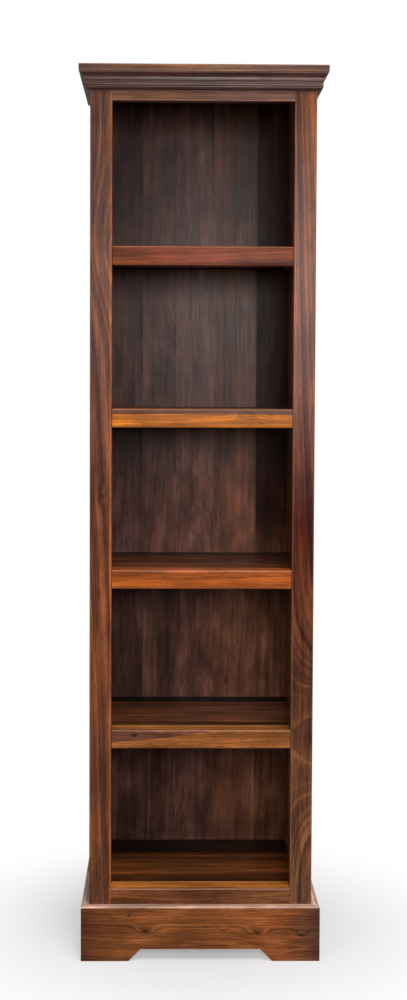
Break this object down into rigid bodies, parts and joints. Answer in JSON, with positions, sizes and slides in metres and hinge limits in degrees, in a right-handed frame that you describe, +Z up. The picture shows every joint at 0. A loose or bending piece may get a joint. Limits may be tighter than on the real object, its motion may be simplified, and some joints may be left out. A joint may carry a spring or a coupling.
{
  "type": "bookcase with adjustable shelves",
  "caption": "Tall slim solid-wood bookcase with a moulded cornice, shelves on movable pins, a fixed floor shelf, a boarded back and a plinth cut out between its feet.",
  "frame": {"origin": "on the floor under the middle of the overall box", "axes": "+Z up, the front faces -Y, +X is the right side seen from the front"},
  "size_m": [0.496, 0.378, 1.8],
  "materials": {
    "post_wood": "satin lacquer over reddish brown rosewood",
    "rail_wood": "satin lacquer over orange brown rosewood",
    "board_wood": "satin lacquer over glued staves of brown rosewood",
    "panel_wood": "satin lacquer over brown rosewood",
    "back_wood": "thin lacquer over dark rosewood boards",
    "cornice_wood": "satin lacquer over greyish brown rosewood",
    "plinth_wood": "satin lacquer over mid brown rosewood",
    "plain_wood": "bare hardwood",
    "steel": "zinc-plated"
  },
  "bodies": {
    "carcase": {"back_board_1": "back_wood", "back_board_2": "back_wood", "back_board_3": "back_wood", "back_board_4": "back_wood", "back_board_5": "back_wood", "back_screws": "steel", "cleat_screws": "steel", "cornice_front": "cornice_wood", "cornice_left": "cornice_wood", "cornice_right": "cornice_wood", "floor_board": "board_wood", "floor_cleat_left": "plain_wood", "floor_cleat_right": "plain_wood", "floor_rail": "rail_wood", "front_post_left": "post_wood", "front_post_right": "post_wood", "front_top_rail": "rail_wood", "plinth_front": "plinth_wood", "plinth_left": "plinth_wood", "plinth_right": "plinth_wood", "rear_post_left": "post_wood", "rear_post_right": "post_wood", "side_bottom_rail_left": "panel_wood", "side_bottom_rail_right": "panel_wood", "side_panel_left": "panel_wood", "side_panel_right": "panel_wood", "side_top_rail_left": "panel_wood", "side_top_rail_right": "panel_wood", "top_board": "cornice_wood", "top_dowels": "plain_wood"},
    "shelf_1": {"shelf_1_rail": "rail_wood", "shelf_1_board": "board_wood"},
    "pins_1_left": {"shelf_1_pins_left": "steel"},
    "pins_1_right": {"shelf_1_pins_right": "steel"},
    "shelf_2": {"shelf_2_rail": "rail_wood", "shelf_2_board": "board_wood"},
    "pins_2_left": {"shelf_2_pins_left": "steel"},
    "pins_2_right": {"shelf_2_pins_right": "steel"},
    "shelf_3": {"shelf_3_rail": "rail_wood", "shelf_3_board": "board_wood"},
    "pins_3_left": {"shelf_3_pins_left": "steel"},
    "pins_3_right": {"shelf_3_pins_right": "steel"},
    "shelf_4": {"shelf_4_rail": "rail_wood", "shelf_4_board": "board_wood"},
    "pins_4_left": {"shelf_4_pins_left": "steel"},
    "pins_4_right": {"shelf_4_pins_right": "steel"}
  },
  "joints": [
    {"name": "shelf_1_lift", "type": "slide", "parent": "carcase", "child": "shelf_1", "axis": [0, 0, 1], "range_m": [0, 0.28]},
    {"name": "pins_1_left_pull", "type": "slide", "parent": "carcase", "child": "pins_1_left", "axis": [1, 0, 0], "range_m": [0, 0.0095]},
    {"name": "pins_1_right_pull", "type": "slide", "parent": "carcase", "child": "pins_1_right", "axis": [-1, 0, 0], "range_m": [0, 0.0095]},
    {"name": "shelf_2_lift", "type": "slide", "parent": "carcase", "child": "shelf_2", "axis": [0, 0, 1], "range_m": [0, 0.28]},
    {"name": "pins_2_left_pull", "type": "slide", "parent": "carcase", "child": "pins_2_left", "axis": [1, 0, 0], "range_m": [0, 0.0095]},
    {"name": "pins_2_right_pull", "type": "slide", "parent": "carcase", "child": "pins_2_right", "axis": [-1, 0, 0], "range_m": [0, 0.0095]},
    {"name": "shelf_3_lift", "type": "slide", "parent": "carcase", "child": "shelf_3", "axis": [0, 0, 1], "range_m": [0, 0.28]},
    {"name": "pins_3_left_pull", "type": "slide", "parent": "carcase", "child": "pins_3_left", "axis": [1, 0, 0], "range_m": [0, 0.0095]},
    {"name": "pins_3_right_pull", "type": "slide", "parent": "carcase", "child": "pins_3_right", "axis": [-1, 0, 0], "range_m": [0, 0.0095]},
    {"name": "shelf_4_lift", "type": "slide", "parent": "carcase", "child": "shelf_4", "axis": [0, 0, 1], "range_m": [0, 0.28]},
    {"name": "pins_4_left_pull", "type": "slide", "parent": "carcase", "child": "pins_4_left", "axis": [1, 0, 0], "range_m": [0, 0.0095]},
    {"name": "pins_4_right_pull", "type": "slide", "parent": "carcase", "child": "pins_4_right", "axis": [-1, 0, 0], "range_m": [0, 0.0095]}
  ]
}
